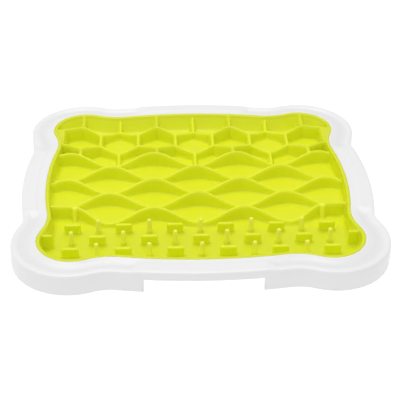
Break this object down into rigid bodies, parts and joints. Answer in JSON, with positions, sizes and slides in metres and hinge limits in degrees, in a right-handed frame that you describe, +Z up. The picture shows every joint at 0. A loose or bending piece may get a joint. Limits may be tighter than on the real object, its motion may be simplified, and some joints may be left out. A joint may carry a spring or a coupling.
{
  "type": "pet lick mat",
  "caption": "Green elastomer lick mat with honeycomb, wave walls, blades and pins, lying in a white plastic tray with a hollow rim and finger notches.",
  "frame": {"origin": "on the ground under the middle of the tray", "axes": "+X to the right along the wave walls, +Y to the back, where the honeycomb is, +Z up"},
  "size_m": [0.281, 0.2518, 0.0175],
  "materials": {
    "tray_plastic": "white, semi-gloss, smooth",
    "mat_elastomer": "yellow-green, satin, smooth"
  },
  "bodies": {
    "root": {"tray": "tray_plastic", "mat": "mat_elastomer"}
  },
  "joints": []
}
